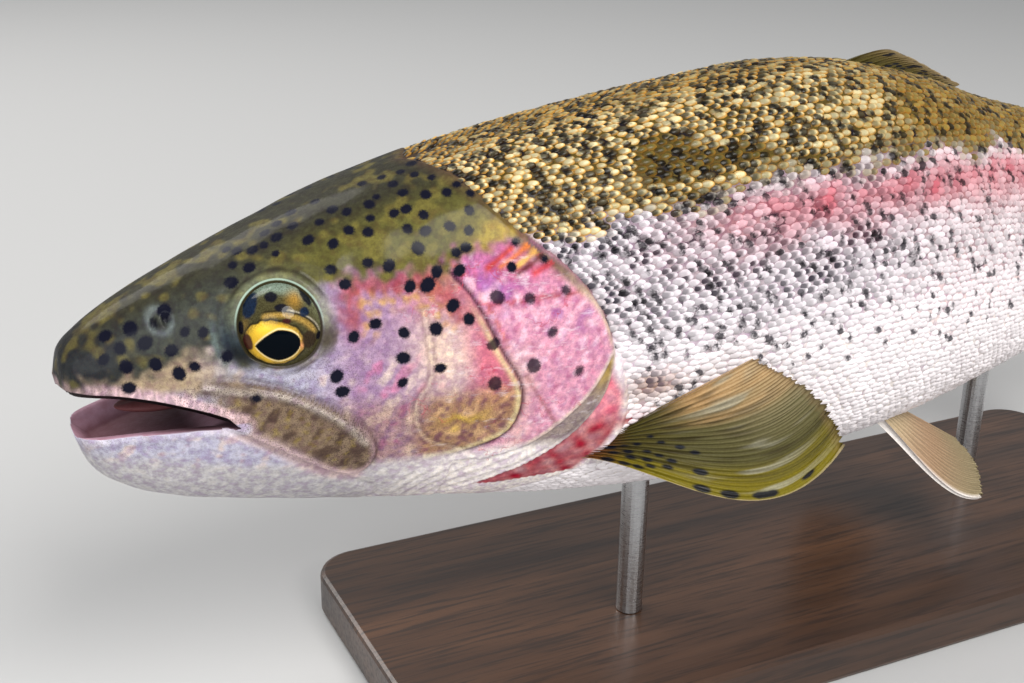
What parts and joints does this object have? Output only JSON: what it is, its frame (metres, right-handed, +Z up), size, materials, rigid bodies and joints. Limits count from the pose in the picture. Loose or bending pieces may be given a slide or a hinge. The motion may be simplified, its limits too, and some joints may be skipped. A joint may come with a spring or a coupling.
{
  "type": "rainbow trout model on display stand",
  "caption": "Life-size still model of a rainbow trout with its mouth a little open, held level by slim rods over a flat wooden base.",
  "frame": {"origin": "middle of the stand base's underside", "axes": "+Z up; the snout points along -X and the tail along +X; the fish's left side faces -Y"},
  "size_m": [0.5459, 0.1258, 0.1778],
  "materials": {
    "skin_head": "wet satin, olive with dark spots",
    "skin_cheek": "wet satin, rose pink with silver",
    "skin_body": "wet scales: olive gold back, pink stripe, silver sides",
    "skin_belly": "wet satin, white",
    "mouth": "wet, pale pink",
    "fin": "translucent olive membrane with darker rays",
    "eye": "clear dome over a gold ring and black pupil",
    "stand_wood": "dark stained, satin",
    "stand_steel": "brushed"
  },
  "bodies": {
    "root": {"head": "skin_head", "lower_jaw": "skin_belly", "tongue": "mouth", "trunk_front": "skin_body", "trunk_rear": "skin_body", "tail_stalk": "skin_body", "eye_left": "eye", "eye_right": "eye", "maxilla_left": "skin_head", "maxilla_right": "skin_head", "gill_cover_left": "skin_cheek", "gill_cover_right": "skin_cheek", "pectoral_fin_left": "fin", "pectoral_fin_right": "fin", "pelvic_fin_left": "fin", "pelvic_fin_right": "fin", "dorsal_fin": "fin", "adipose_fin": "fin", "anal_fin": "fin", "tail_fin": "fin", "stand_base": "stand_wood", "stand_rod_front": "stand_steel", "stand_rod_rear": "stand_steel"}
  },
  "joints": []
}
